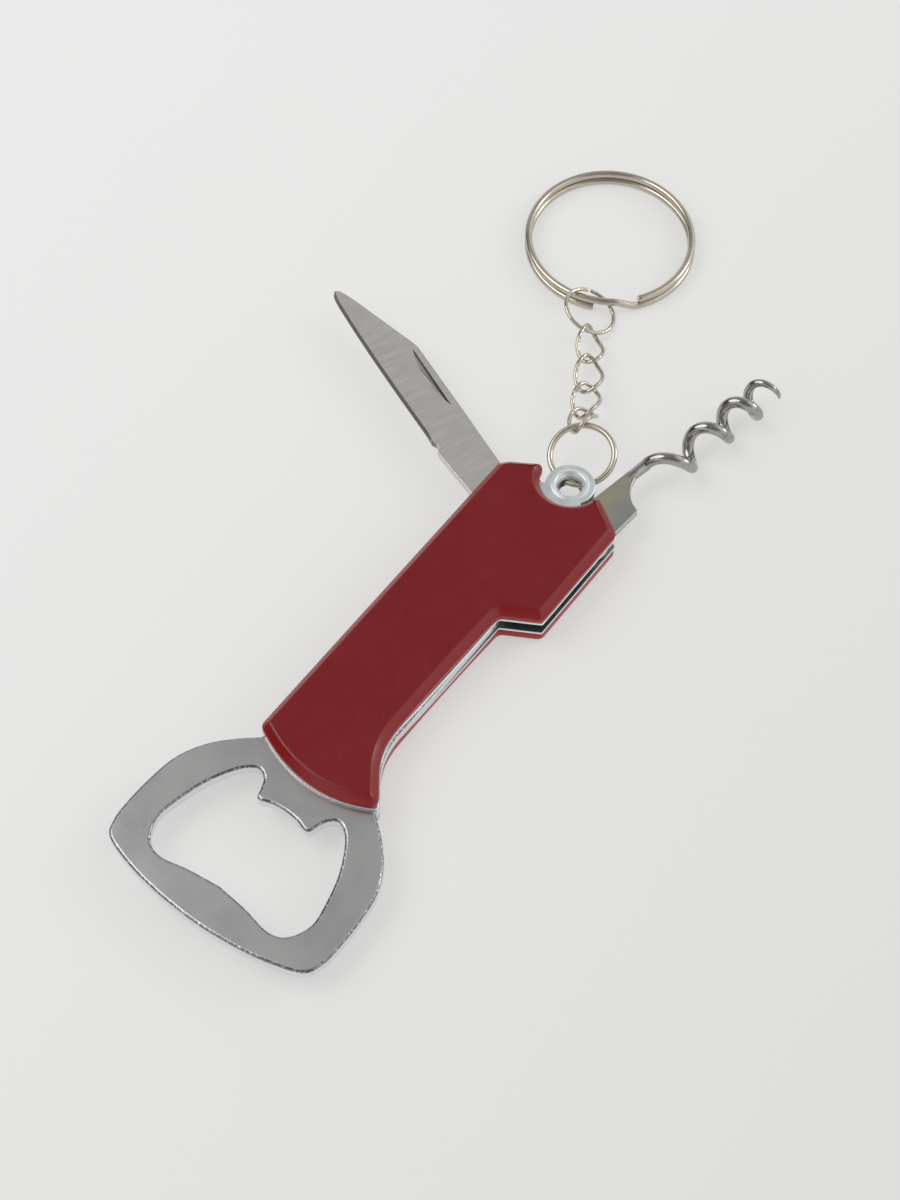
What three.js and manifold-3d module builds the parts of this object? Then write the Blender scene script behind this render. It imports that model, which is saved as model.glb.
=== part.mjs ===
// Folding pocket bottle opener on a key ring: crown-cap opener, drop-point blade, corkscrew and chain.
// Millimetres, +Z up. The handle lies flat on its back scale: z = 0 is the back scale's outer face,
// +Y runs along the handle from the opener head towards the key ring, +X is the corkscrew's side.
import * as THREE from 'three';
import { mergeVertices } from 'three/addons/utils/BufferGeometryUtils.js';
import Module from 'manifold-3d';

const wasm = await Module();
wasm.setup();

// ---------------------------------------------------------------- driving dimensions
const SCALE_THICKNESS = 2.125;
const LINER_THICKNESS = 0.5;
const PLATE_THICKNESS = 2.0;
const WASHER_THICKNESS = 0.375;
const TOOL_THICKNESS = PLATE_THICKNESS - 2 * WASHER_THICKNESS;

// Layer heights, from the back face upwards.
const Z_BACK_LINER = SCALE_THICKNESS;
const Z_PLATE = Z_BACK_LINER + LINER_THICKNESS;
const Z_TOOL = Z_PLATE + WASHER_THICKNESS;
const Z_TOOL_TOP = Z_TOOL + TOOL_THICKNESS;
const Z_FRONT_LINER = Z_PLATE + PLATE_THICKNESS;
const Z_FRONT_SCALE = Z_FRONT_LINER + LINER_THICKNESS;
const Z_TOP = Z_FRONT_SCALE + SCALE_THICKNESS;
const Z_MIDDLE = Z_TOP / 2;

const HANDLE_HALF_WIDTH = 11.6;
const HANDLE_SHOULDER_Y = 33.0;
const WAIST_STEP_Y = 5.4;
const WAIST_X = 5.6;
const SCALE_CHAMFER = 1.0;
const BACK_CHAMFER = 0.45;

const LOBE = new THREE.Vector2(-0.2, 33.7);
const LOBE_RADIUS = 4.0;
const LOBE_NOTCH_RADIUS = 4.9;
const EYELET_BARREL_RADIUS = 2.3;
const LOBE_PIN = new THREE.Vector2(-0.5, 36.75);
const LOBE_PIN_RADIUS = 0.55;

const RIVET_RADIUS = 1.2;
const RIVET_HOLE_RADIUS = 1.3;
const RIVET_HEAD_RADIUS = 2.1;
const RIVET_HEAD_HEIGHT = 0.5;
const POCKET_RADIUS = 2.4;
const POCKET_DEPTH = 0.75;
const PIVOT_HOLE_RADIUS = 1.4;
const WASHER_RADIUS = 2.4;

const HEAD_HALF_WIDTH = 19.6;
const HEAD_END_Y = -60.4;

const BLADE_PIVOT = new THREE.Vector2(-8.95, 26.8);
const BLADE_ANGLE = THREE.MathUtils.degToRad(160);
const BLADE_LENGTH = 50.8;

const CORKSCREW_PIVOT = new THREE.Vector2(8.0, 26.8);
const CORKSCREW_ANGLE = THREE.MathUtils.degToRad(79.9);
const WORM_WIRE_RADIUS = 0.98;
const WORM_RADIUS = 2.2;
const WORM_AXIS_OFFSET = 1.3;
const WORM_START = 17.8;
const WORM_TURNS = 3.6;
const WORM_FIRST_PITCH = 10.7;
const WORM_PITCH_LOSS = 0.885;
// The straight lead-in between the tang and the worm, and the share of the wire's steps the worm gets.
const LEAD_LENGTH = 3.0;
const LEAD_OFFSET = 4.4;
const WORM_SPAN = 60;

const EYELET_RING_RADIUS = 5.25;
const EYELET_RING_WIRE = 0.52;
const EYELET_RING_CENTRE = new THREE.Vector3(-2.2, 39.95, 4.79);
const EYELET_RING_TILT = THREE.MathUtils.degToRad(17);
const EYELET_RING_HEADING = THREE.MathUtils.degToRad(-85);
const EYELET_HOOK_ANGLE = THREE.MathUtils.degToRad(127);

const LINK_LENGTH = 7.8;
const LINK_WIDTH = 4.6;
const LINK_WIRE = 0.4;
const LINK_TWIST = THREE.MathUtils.degToRad(84);
const LINK_ROLL_STEP = THREE.MathUtils.degToRad(15);
const LINK_SQUARENESS = 0.85;
const HOOK_GAP = 0.2;
// Where the chain's links hook each other, from the eyelet ring's end to the jump ring's.
const CHAIN_HOOKS = [
  new THREE.Vector3(-7.35, 48.3, 3.4),
  new THREE.Vector3(-10.29, 53.67, 2.5),
  new THREE.Vector3(-13.5, 59.1, 2.2),
];

const JUMP_RING_RADIUS = 4.55;
const JUMP_RING_WIRE = 0.38;
const JUMP_RING_CENTRE = new THREE.Vector3(-19.8, 68.14, 2.23);
const JUMP_RING_TILT = THREE.MathUtils.degToRad(23.5);
const JUMP_RING_HEADING = THREE.MathUtils.degToRad(30);
const JUMP_HOOK_ANGLE = THREE.MathUtils.degToRad(-54);
const JUMP_GAP_ANGLE = THREE.MathUtils.degToRad(126);
const KEY_RING_RADIUS = 14.4;
const KEY_RING_WIRE = 0.64;
const KEY_RING_OVAL = 1.065;
const KEY_RING_SPLAY = 0.3;
const COIL_GAP = 0.1;
const KEY_RING_CENTRE = new THREE.Vector3(-26.85, 84.8, 0);
const KEY_RING_HEADING = THREE.MathUtils.degToRad(-53.5);

const ROUND_SIDES = 24;

// ---------------------------------------------------------------- materials
function finish(color, roughness, metalness) {
  return new THREE.MeshStandardMaterial({ color, roughness, metalness });
}
const RED_PLASTIC = finish(0x7a1e26, 0.25, 0.0);
const PLATED_STEEL = finish(0x929393, 0.35, 1.0);
const BRUSHED_STEEL = finish(0x9d9996, 0.4, 1.0);
const POLISHED_STEEL = finish(0xb4b4b4, 0.12, 1.0);
const ZINC = finish(0xb4bebe, 0.35, 1.0);
const NICKEL = finish(0xaa9f90, 0.2, 1.0);
const BRONZE = finish(0xa07a48, 0.4, 1.0);

// ---------------------------------------------------------------- solids and booleans
function toSolid(geometry) {
  const bare = geometry.clone();
  bare.deleteAttribute('normal');
  bare.deleteAttribute('uv');
  const merged = mergeVertices(bare, 1e-4);
  const corners = merged.index.array;
  const triangles = [];
  for (let i = 0; i < corners.length; i += 3) {
    const [a, b, c] = [corners[i], corners[i + 1], corners[i + 2]];
    if (a !== b && b !== c && c !== a) triangles.push(a, b, c);
  }
  return new wasm.Manifold(new wasm.Mesh({
    numProp: 3,
    vertProperties: new Float32Array(merged.attributes.position.array),
    triVerts: new Uint32Array(triangles),
  }));
}

function toGeometry(solid) {
  const mesh = solid.getMesh();
  const geometry = new THREE.BufferGeometry();
  geometry.setAttribute('position', new THREE.BufferAttribute(mesh.vertProperties, 3));
  geometry.setIndex(new THREE.BufferAttribute(mesh.triVerts, 1));
  geometry.computeVertexNormals();
  return geometry;
}

function subtract(geometry, ...cutters) {
  const solid = cutters.reduce((rest, cutter) => rest.subtract(toSolid(cutter)), toSolid(geometry));
  return toGeometry(solid);
}

// ---------------------------------------------------------------- shape helpers
const DEGREE = Math.PI / 180;

// A round hole with the same number of sides as the turned pieces.
function circlePath(centre, radius) {
  const circle = new THREE.Path().absarc(centre.x, centre.y, radius, 0, 2 * Math.PI, true);
  return new THREE.Path(circle.getPoints(ROUND_SIDES / 2));
}

function plate(shape, bottom, top, curveSegments = 6) {
  const options = { depth: top - bottom, bevelEnabled: false, curveSegments };
  return new THREE.ExtrudeGeometry(shape, options).translate(0, 0, bottom);
}

function disc(centre, radius, bottom, top) {
  const geometry = new THREE.CylinderGeometry(radius, radius, top - bottom, ROUND_SIDES);
  return geometry.rotateX(Math.PI / 2).translate(centre.x, centre.y, (bottom + top) / 2);
}

// A turned piece: [radius, z] pairs, from the axis to the axis or closing on themselves.
function turned(profile, centre) {
  const points = profile.map(([radius, z]) => new THREE.Vector2(radius, z));
  const geometry = new THREE.LatheGeometry(points, ROUND_SIDES);
  return geometry.rotateX(Math.PI / 2).translate(centre.x, centre.y, 0);
}

function washerGeometry(bottom, top) {
  const shape = new THREE.Shape();
  shape.absarc(0, 0, WASHER_RADIUS, 0, 2 * Math.PI, false);
  shape.holes.push(circlePath(new THREE.Vector2(), PIVOT_HOLE_RADIUS));
  return plate(shape, bottom, top, 12);
}

// Wire with both ends drawn to a point; radiusAt gives its radius along the curve, from 0 to 1.
function pointedWire(curve, steps, sides, radiusAt) {
  const geometry = new THREE.TubeGeometry(curve, steps, 1, sides, false);
  const position = geometry.attributes.position;
  const vertex = new THREE.Vector3();
  for (let ring = 0; ring <= steps; ring += 1) {
    const centre = curve.getPointAt(ring / steps);
    const ends = ring === 0 || ring === steps ? 0 : 1;
    for (let side = 0; side <= sides; side += 1) {
      const index = ring * (sides + 1) + side;
      vertex.fromBufferAttribute(position, index).sub(centre);
      vertex.multiplyScalar(ends * radiusAt(ring / steps)).add(centre);
      position.setXYZ(index, vertex.x, vertex.y, vertex.z);
    }
  }
  return geometry;
}

// Wire of one radius with square-cut ends.
function cutWire(curve, steps, sides, radius) {
  const section = new THREE.Shape();
  section.absarc(0, 0, radius, 0, 2 * Math.PI, false);
  return new THREE.ExtrudeGeometry(section, {
    steps,
    extrudePath: curve,
    curveSegments: sides / 2,
    bevelEnabled: false,
  });
}

class FormulaCurve extends THREE.Curve {
  constructor(pointAt) {
    super();
    this.pointAt = pointAt;
    this.arcLengthDivisions = 800;
  }

  getPoint(t, target = new THREE.Vector3()) {
    return target.copy(this.pointAt(t));
  }
}

// ---------------------------------------------------------------- handle
// The outline from its lower left corner anticlockwise up to the right shoulder.
function handleRightSide(shape, waistX) {
  shape.moveTo(-11.4, -30.7);
  shape.quadraticCurveTo(0.6, -37.2, 10.9, -31.2);
  shape.bezierCurveTo(8.6, -27.2, WAIST_X - 0.3, -25.4, WAIST_X - 0.4, -19.0);
  shape.quadraticCurveTo(waistX, -7.0, WAIST_X + 0.1, WAIST_STEP_Y + 0.6);
  shape.lineTo(HANDLE_HALF_WIDTH, 9.2);
  shape.lineTo(HANDLE_HALF_WIDTH, 29.4);
}

function handleLeftSide(shape) {
  shape.lineTo(-10.4, 31.1);
  shape.lineTo(-HANDLE_HALF_WIDTH, 29.8);
}

function scaleShape() {
  const shape = new THREE.Shape();
  handleRightSide(shape, WAIST_X - 0.9);
  shape.lineTo(5.6, HANDLE_SHOULDER_Y + 0.4);
  shape.absarc(LOBE.x, LOBE.y - 0.1, LOBE_NOTCH_RADIUS, -8 * DEGREE, -172 * DEGREE, true);
  shape.lineTo(-6.0, HANDLE_SHOULDER_Y + 0.7);
  handleLeftSide(shape);
  return shape;
}

function linerShape() {
  const shape = new THREE.Shape();
  handleRightSide(shape, WAIST_X);
  shape.lineTo(7.2, 32.1);
  shape.lineTo(5.2, 31.2);
  shape.lineTo(3.6, 31.2);
  shape.absarc(LOBE.x, LOBE.y, LOBE_RADIUS, -34 * DEGREE, 214 * DEGREE, false);
  shape.lineTo(-5.4, 31.2);
  shape.lineTo(-7.6, 32.6);
  handleLeftSide(shape);
  return shape;
}

const FIXED_RIVETS = [new THREE.Vector2(0, 16), new THREE.Vector2(0.6, -8), new THREE.Vector2(0, -29)];
const RIVETS = [BLADE_PIVOT, CORKSCREW_PIVOT, ...FIXED_RIVETS];

// Scale with its outer edge chamfered and blind pockets over the rivet heads.
function scaleGeometry(isFront) {
  const depth = SCALE_THICKNESS;
  const chamfer = isFront ? SCALE_CHAMFER : BACK_CHAMFER;
  const geometry = new THREE.ExtrudeGeometry(scaleShape(), {
    depth,
    bevelThickness: chamfer,
    bevelSize: chamfer,
    bevelOffset: -chamfer,
    bevelSegments: 1,
    curveSegments: 6,
  });
  const waste = new THREE.BoxGeometry(60, 100, 10);
  if (isFront) {
    geometry.translate(0, 0, Z_TOP - chamfer - depth);
    waste.translate(0, 0, Z_FRONT_SCALE - 5);
  } else {
    geometry.translate(0, 0, chamfer);
    waste.translate(0, 0, SCALE_THICKNESS + 5);
  }
  const pocketBottom = isFront ? Z_FRONT_SCALE - 0.5 : SCALE_THICKNESS - POCKET_DEPTH;
  const pocketTop = isFront ? Z_FRONT_SCALE + POCKET_DEPTH : SCALE_THICKNESS + 0.5;
  const pockets = RIVETS.map((centre) => disc(centre, POCKET_RADIUS, pocketBottom, pocketTop));
  return subtract(geometry, waste, ...pockets);
}

function linerGeometry(bottom) {
  const shape = linerShape();
  for (const centre of RIVETS) shape.holes.push(circlePath(centre, RIVET_HOLE_RADIUS));
  shape.holes.push(circlePath(LOBE, EYELET_BARREL_RADIUS + 0.1));
  return plate(shape, bottom, bottom + LINER_THICKNESS, 8);
}

function rivetGeometry(centre) {
  return turned([
    [0, Z_BACK_LINER - RIVET_HEAD_HEIGHT],
    [RIVET_HEAD_RADIUS - 0.3, Z_BACK_LINER - RIVET_HEAD_HEIGHT],
    [RIVET_HEAD_RADIUS, Z_BACK_LINER - 0.2],
    [RIVET_HEAD_RADIUS, Z_BACK_LINER],
    [RIVET_RADIUS, Z_BACK_LINER],
    [RIVET_RADIUS, Z_FRONT_SCALE],
    [RIVET_HEAD_RADIUS, Z_FRONT_SCALE],
    [RIVET_HEAD_RADIUS, Z_FRONT_SCALE + 0.2],
    [RIVET_HEAD_RADIUS - 0.3, Z_FRONT_SCALE + RIVET_HEAD_HEIGHT],
    [0, Z_FRONT_SCALE + RIVET_HEAD_HEIGHT],
  ], centre);
}

// Flared eyelets in the liners' lobes. The front one has a deep funnel, the back one is shallow.
function frontEyeletGeometry() {
  const top = Z_FRONT_SCALE;
  return turned([
    [EYELET_BARREL_RADIUS, Z_FRONT_LINER - 0.4],
    [EYELET_BARREL_RADIUS, top],
    [3.2, top],
    [3.15, top + 0.1],
    [2.75, top + 0.16],
    [2.5, top + 0.1],
    [2.2, top - 0.2],
    [1.85, Z_FRONT_LINER - 0.1],
    [1.8, Z_FRONT_LINER - 0.4],
    [EYELET_BARREL_RADIUS, Z_FRONT_LINER - 0.4],
  ], LOBE);
}

function backEyeletGeometry() {
  const bottom = Z_BACK_LINER;
  return turned([
    [EYELET_BARREL_RADIUS, Z_PLATE - 0.05],
    [1.8, Z_PLATE - 0.05],
    [2.1, bottom],
    [2.55, bottom - 0.25],
    [3.0, bottom - 0.25],
    [3.2, bottom - 0.1],
    [3.2, bottom],
    [EYELET_BARREL_RADIUS, bottom],
    [EYELET_BARREL_RADIUS, Z_PLATE - 0.05],
  ], LOBE);
}

// ---------------------------------------------------------------- opener plate
const mirrorX = ([x, y]) => [-x, y];
const toVector = ([x, y]) => new THREE.Vector2(x, y);

// Right half of the head's outline, from the neck round to the middle of the far edge.
const HEAD_HALF = [
  [13.8, -34.1],
  [16.8, -37.5],
  [18.8, -41.6],
  [HEAD_HALF_WIDTH - 0.1, -46.4],
  [HEAD_HALF_WIDTH, -51.6],
  [19.2, -54.9],
  [17.7, -57.4],
  [12.0, -59.2],
  [6.0, -60.1],
];

// Right half of the cap opening, from the lifting lip's middle to the far bar's middle.
const CAP_HALF = [
  [2.2, -39.3],
  [4.2, -39.9],
  [5.2, -38.6],
  [6.1, -36.6],
  [7.7, -36.0],
  [9.9, -37.8],
  [12.3, -42.2],
  [13.7, -47.0],
  [14.2, -51.0],
  [12.6, -54.3],
  [9.8, -55.3],
  [5.4, -54.5],
];

function openerPlateGeometry() {
  const shape = new THREE.Shape();
  shape.moveTo(-3.9, -25.8);
  shape.lineTo(-10.6, -26.6);
  shape.lineTo(-10.6, -31.4);
  shape.splineThru(HEAD_HALF.map(mirrorX).map(toVector));
  shape.splineThru([[0, HEAD_END_Y], ...[...HEAD_HALF].reverse()].map(toVector));
  shape.lineTo(10.6, -31.4);
  shape.quadraticCurveTo(10.8, -30.6, 10.3, -30.1);
  shape.bezierCurveTo(8.6, -27.2, WAIST_X, -25.4, WAIST_X - 0.1, -19.0);
  shape.lineTo(WAIST_X - 0.1, 8.0);
  shape.lineTo(3.8, 14.0);
  shape.lineTo(3.8, 28.0);
  shape.lineTo(2.8, 29.2);
  shape.lineTo(-3.0, 29.2);
  shape.lineTo(-3.9, 28.0);
  shape.lineTo(-3.9, -25.8);
  const opening = new THREE.Path();
  opening.moveTo(0, -39.1);
  opening.splineThru([...CAP_HALF, [0, -53.9]].map(toVector));
  opening.splineThru([...[...CAP_HALF].reverse().map(mirrorX), [0, -39.1]].map(toVector));
  shape.holes.push(opening);
  for (const centre of FIXED_RIVETS) shape.holes.push(circlePath(centre, RIVET_HOLE_RADIUS));
  return plate(shape, Z_PLATE, Z_FRONT_LINER, 3);
}

// ---------------------------------------------------------------- folding tools
// Both tools are drawn with the pivot at the origin and their length along +X.
function bladeGeometry() {
  const shape = new THREE.Shape();
  shape.moveTo(-3.55, -2.4);
  shape.lineTo(32.4, -5.25);
  shape.lineTo(34.2, -4.95);
  shape.lineTo(47.2, -1.9);
  shape.lineTo(49.4, -1.25);
  shape.quadraticCurveTo(BLADE_LENGTH, -0.8, BLADE_LENGTH, -0.1);
  shape.quadraticCurveTo(BLADE_LENGTH, 0.6, 47.6, 1.0);
  shape.quadraticCurveTo(35, 2.6, 14.2, 3.85);
  shape.quadraticCurveTo(12.5, 3.0, 12.1, 4.2);
  shape.quadraticCurveTo(11.7, 4.33, 10.8, 4.35);
  shape.lineTo(0, 4.3);
  shape.absarc(0, 0, 4.3, 90 * DEGREE, 214 * DEGREE, false);
  shape.holes.push(circlePath(new THREE.Vector2(), PIVOT_HOLE_RADIUS));
  const body = plate(shape, Z_TOOL, Z_TOOL_TOP, 8);
  const nick = new THREE.Shape();
  nick.moveTo(18.9, -3.0);
  nick.lineTo(32.5, -4.25);
  nick.quadraticCurveTo(25.5, -1.3, 18.9, -3.0);
  return subtract(body, plate(nick, Z_TOOL_TOP - 0.35, Z_TOOL_TOP + 1, 8));
}

function wormPoint(turn) {
  const travel = WORM_FIRST_PITCH * turn - WORM_PITCH_LOSS * turn * turn;
  const ease = Math.max(0, 1 - turn / 0.35);
  const radius = WORM_RADIUS + (LEAD_OFFSET - WORM_AXIS_OFFSET - WORM_RADIUS) * ease * ease;
  const angle = Math.PI - 2 * Math.PI * turn;
  return new THREE.Vector3(
    WORM_START + travel,
    WORM_AXIS_OFFSET - radius * Math.cos(angle),
    Z_MIDDLE + radius * Math.sin(angle),
  );
}

function corkscrewGeometry() {
  const tang = new THREE.Shape();
  tang.moveTo(2.6, -2.1);
  tang.lineTo(10.0, -1.35);
  tang.quadraticCurveTo(10.5, 2.2, 14.7, 3.55);
  tang.lineTo(15.1, 5.2);
  tang.lineTo(6.7, 5.2);
  tang.lineTo(3.2, 4.8);
  tang.lineTo(-0.8, 3.24);
  tang.absarc(0, 0, 3.34, 104 * DEGREE, 321 * DEGREE, false);
  tang.holes.push(circlePath(new THREE.Vector2(), PIVOT_HOLE_RADIUS));
  const worm = new FormulaCurve((t) => {
    const length = t * (LEAD_LENGTH + WORM_SPAN);
    const past = length - LEAD_LENGTH;
    if (past < 0) return new THREE.Vector3(WORM_START + past, LEAD_OFFSET, Z_MIDDLE);
    return wormPoint((past / WORM_SPAN) * WORM_TURNS);
  });
  const taper = (t) => WORM_WIRE_RADIUS * Math.min(1, Math.sqrt(Math.max(0.02, (1 - t) / 0.22)));
  const wire = pointedWire(worm, 92, 8, taper);
  return toGeometry(toSolid(plate(tang, Z_TOOL, Z_TOOL_TOP, 8)).add(toSolid(wire)));
}

// ---------------------------------------------------------------- rings and chain
function tiltedFrame(centre, tilt, heading) {
  const normal = new THREE.Vector3(
    Math.sin(tilt) * Math.cos(heading),
    Math.sin(tilt) * Math.sin(heading),
    Math.cos(tilt),
  );
  const turn = new THREE.Quaternion().setFromUnitVectors(new THREE.Vector3(0, 0, 1), normal);
  return new THREE.Matrix4().compose(centre, turn, new THREE.Vector3(1, 1, 1));
}

function eyeletRingGeometry() {
  return new THREE.TorusGeometry(EYELET_RING_RADIUS, EYELET_RING_WIRE, 8, 40);
}

// An oval link twisted about its length, so that its two end loops stand across each other.
function chainLinkGeometry(centre, along, roll) {
  const sideways = new THREE.Vector3(0, 0, 1).cross(along).normalize();
  const curve = new FormulaCurve((t) => {
    const angle = 2 * Math.PI * t;
    const lengthwise = -Math.cos(angle);
    const across = Math.sign(Math.sin(angle)) * Math.abs(Math.sin(angle)) ** LINK_SQUARENESS;
    return sideways.clone().applyAxisAngle(along, (LINK_TWIST * lengthwise) / 2 + roll)
      .multiplyScalar((across * LINK_WIDTH) / 2)
      .addScaledVector(along, (lengthwise * LINK_LENGTH) / 2)
      .add(centre);
  });
  return new THREE.TubeGeometry(curve, 36, LINK_WIRE, 6, true);
}

function jumpRingGeometry() {
  const halfGap = 3 * DEGREE;
  const arc = new FormulaCurve((t) => {
    const angle = JUMP_GAP_ANGLE + halfGap + (2 * Math.PI - 2 * halfGap) * t;
    return new THREE.Vector3(Math.cos(angle), Math.sin(angle), 0).multiplyScalar(JUMP_RING_RADIUS);
  });
  return cutWire(arc, 40, 8, JUMP_RING_WIRE);
}

// Split ring: the upper coil, a step down between the two cut ends, then the lower coil.
function keyRingGeometry() {
  const upperEnd = 17 * DEGREE;
  const lowerEnd = -14 * DEGREE;
  const stepSpan = upperEnd - lowerEnd;
  const coilSpan = 2 * Math.PI - stepSpan;
  const total = 2 * coilSpan + stepSpan;
  const coilPitch = 2 * KEY_RING_WIRE + COIL_GAP;
  const coil = new FormulaCurve((t) => {
    const travelled = t * total;
    const drop = THREE.MathUtils.smoothstep(travelled, coilSpan + 13 * DEGREE, coilSpan + stepSpan);
    const splay = THREE.MathUtils.smoothstep(travelled, coilSpan, coilSpan + 2 * stepSpan);
    const angle = upperEnd + travelled;
    return new THREE.Vector3(
      KEY_RING_OVAL * KEY_RING_RADIUS * Math.cos(angle) + KEY_RING_SPLAY * splay,
      KEY_RING_RADIUS * Math.sin(angle),
      KEY_RING_WIRE + coilPitch * (1 - drop),
    );
  });
  return cutWire(coil, 110, 8, KEY_RING_WIRE);
}

// ---------------------------------------------------------------- assembly
const opener = new THREE.Group();

function addPiece(parent, name, geometry, material) {
  const mesh = new THREE.Mesh(geometry, material);
  mesh.name = name;
  parent.add(mesh);
  return mesh;
}

function addHandle() {
  addPiece(opener, 'front_scale', scaleGeometry(true), RED_PLASTIC);
  addPiece(opener, 'back_scale', scaleGeometry(false), RED_PLASTIC);
  addPiece(opener, 'front_liner', linerGeometry(Z_FRONT_LINER), ZINC);
  addPiece(opener, 'back_liner', linerGeometry(Z_BACK_LINER), ZINC);
  addPiece(opener, 'opener_plate', openerPlateGeometry(), PLATED_STEEL);
  addPiece(opener, 'blade_rivet', rivetGeometry(BLADE_PIVOT), BRUSHED_STEEL);
  addPiece(opener, 'corkscrew_rivet', rivetGeometry(CORKSCREW_PIVOT), BRUSHED_STEEL);
  FIXED_RIVETS.forEach((centre, index) => {
    addPiece(opener, `body_rivet_${index + 1}`, rivetGeometry(centre), BRUSHED_STEEL);
  });
  addPiece(opener, 'front_eyelet', frontEyeletGeometry(), ZINC);
  addPiece(opener, 'back_eyelet', backEyeletGeometry(), ZINC);
  addPiece(opener, 'lobe_pin', disc(LOBE_PIN, LOBE_PIN_RADIUS, Z_PLATE, Z_FRONT_LINER), BRUSHED_STEEL);
}

function addFoldingTool(name, pivot, angle, geometry, material) {
  const tool = new THREE.Group();
  tool.position.set(pivot.x, pivot.y, 0);
  tool.rotation.z = angle;
  addPiece(tool, name, geometry, material);
  opener.add(tool);
}

function addWashers(name, pivot) {
  const back = addPiece(opener, `${name}_washer_back`, washerGeometry(Z_PLATE, Z_TOOL), BRONZE);
  const front = addPiece(opener, `${name}_washer_front`, washerGeometry(Z_TOOL_TOP, Z_FRONT_LINER), BRONZE);
  for (const washer of [back, front]) washer.position.set(pivot.x, pivot.y, 0);
}

// Where the chain's end link, coming from the given hook, turns round a ring's wire.
function linkEndOnRing(frame, radius, wire, angle, hook) {
  const onWire = new THREE.Vector3(radius * Math.cos(angle), radius * Math.sin(angle), 0).applyMatrix4(frame);
  const pull = new THREE.Vector3().subVectors(onWire, hook).normalize();
  return onWire.addScaledVector(pull, wire + LINK_WIRE + HOOK_GAP);
}

function addChainLink(number, centre, along) {
  const roll = (2.5 - number) * LINK_ROLL_STEP;
  addPiece(opener, `chain_link_${number}`, chainLinkGeometry(centre, along, roll), NICKEL);
}

function addRingsAndChain() {
  const eyeletFrame = tiltedFrame(EYELET_RING_CENTRE, EYELET_RING_TILT, EYELET_RING_HEADING);
  addPiece(opener, 'eyelet_ring', eyeletRingGeometry(), NICKEL).applyMatrix4(eyeletFrame);
  const jumpFrame = tiltedFrame(JUMP_RING_CENTRE, JUMP_RING_TILT, JUMP_RING_HEADING);
  addPiece(opener, 'jump_ring', jumpRingGeometry(), NICKEL).applyMatrix4(jumpFrame);

  const [nearHook, midHook, farHook] = CHAIN_HOOKS;
  const first = linkEndOnRing(eyeletFrame, EYELET_RING_RADIUS, EYELET_RING_WIRE, EYELET_HOOK_ANGLE, nearHook);
  const last = linkEndOnRing(jumpFrame, JUMP_RING_RADIUS, JUMP_RING_WIRE, JUMP_HOOK_ANGLE, farHook);
  const direction = (from, to) => new THREE.Vector3().subVectors(to, from).normalize();
  const middle = (from, to) => new THREE.Vector3().addVectors(from, to).multiplyScalar(0.5);
  const nearAlong = direction(first, nearHook);
  const farAlong = direction(farHook, last);
  addChainLink(4, first.clone().addScaledVector(nearAlong, LINK_LENGTH / 2), nearAlong);
  addChainLink(3, middle(nearHook, midHook), direction(nearHook, midHook));
  addChainLink(2, middle(midHook, farHook), direction(midHook, farHook));
  addChainLink(1, last.clone().addScaledVector(farAlong, -LINK_LENGTH / 2), farAlong);

  const keyRing = addPiece(opener, 'key_ring', keyRingGeometry(), NICKEL);
  keyRing.position.copy(KEY_RING_CENTRE);
  keyRing.rotation.z = KEY_RING_HEADING;
}

addHandle();
addFoldingTool('knife_blade', BLADE_PIVOT, BLADE_ANGLE, bladeGeometry(), BRUSHED_STEEL);
addWashers('blade', BLADE_PIVOT);
addFoldingTool('corkscrew', CORKSCREW_PIVOT, CORKSCREW_ANGLE, corkscrewGeometry(), POLISHED_STEEL);
addWashers('corkscrew', CORKSCREW_PIVOT);
addRingsAndChain();

export default opener;
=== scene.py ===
"""Looks of a folding keychain bottle opener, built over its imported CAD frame.

Shapes are drawn in millimetres in the row frame and scaled to metres when a piece is made.
"""
import math

import bpy
from mathutils import Matrix, Vector, geometry, noise


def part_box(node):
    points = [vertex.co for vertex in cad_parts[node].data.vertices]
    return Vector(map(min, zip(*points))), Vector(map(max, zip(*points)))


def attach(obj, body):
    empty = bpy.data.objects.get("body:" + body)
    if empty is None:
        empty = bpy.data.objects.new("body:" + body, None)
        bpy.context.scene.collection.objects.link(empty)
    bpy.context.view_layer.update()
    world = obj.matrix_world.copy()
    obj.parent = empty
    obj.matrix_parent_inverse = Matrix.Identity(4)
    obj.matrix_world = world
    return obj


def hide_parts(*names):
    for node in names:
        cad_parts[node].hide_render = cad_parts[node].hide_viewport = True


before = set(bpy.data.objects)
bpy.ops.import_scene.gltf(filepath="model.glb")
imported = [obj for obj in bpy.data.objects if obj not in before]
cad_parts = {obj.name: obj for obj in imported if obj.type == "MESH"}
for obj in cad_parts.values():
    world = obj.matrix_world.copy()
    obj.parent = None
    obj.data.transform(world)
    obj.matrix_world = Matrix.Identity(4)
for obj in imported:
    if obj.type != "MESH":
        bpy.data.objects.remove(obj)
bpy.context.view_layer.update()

MM = 0.001

# ---------------------------------------------------------------- dimensions, as in the CAD part
SCALE_THICKNESS = 2.125
LINER_THICKNESS = 0.5
PLATE_THICKNESS = 2.0
WASHER_THICKNESS = 0.375
Z_BACK_LINER = SCALE_THICKNESS
Z_PLATE = Z_BACK_LINER + LINER_THICKNESS
Z_TOOL = Z_PLATE + WASHER_THICKNESS
Z_FRONT_LINER = Z_PLATE + PLATE_THICKNESS
Z_TOOL_TOP = Z_FRONT_LINER - WASHER_THICKNESS
Z_FRONT_SCALE = Z_FRONT_LINER + LINER_THICKNESS
Z_TOP = Z_FRONT_SCALE + SCALE_THICKNESS
Z_MIDDLE = Z_TOP / 2

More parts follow.
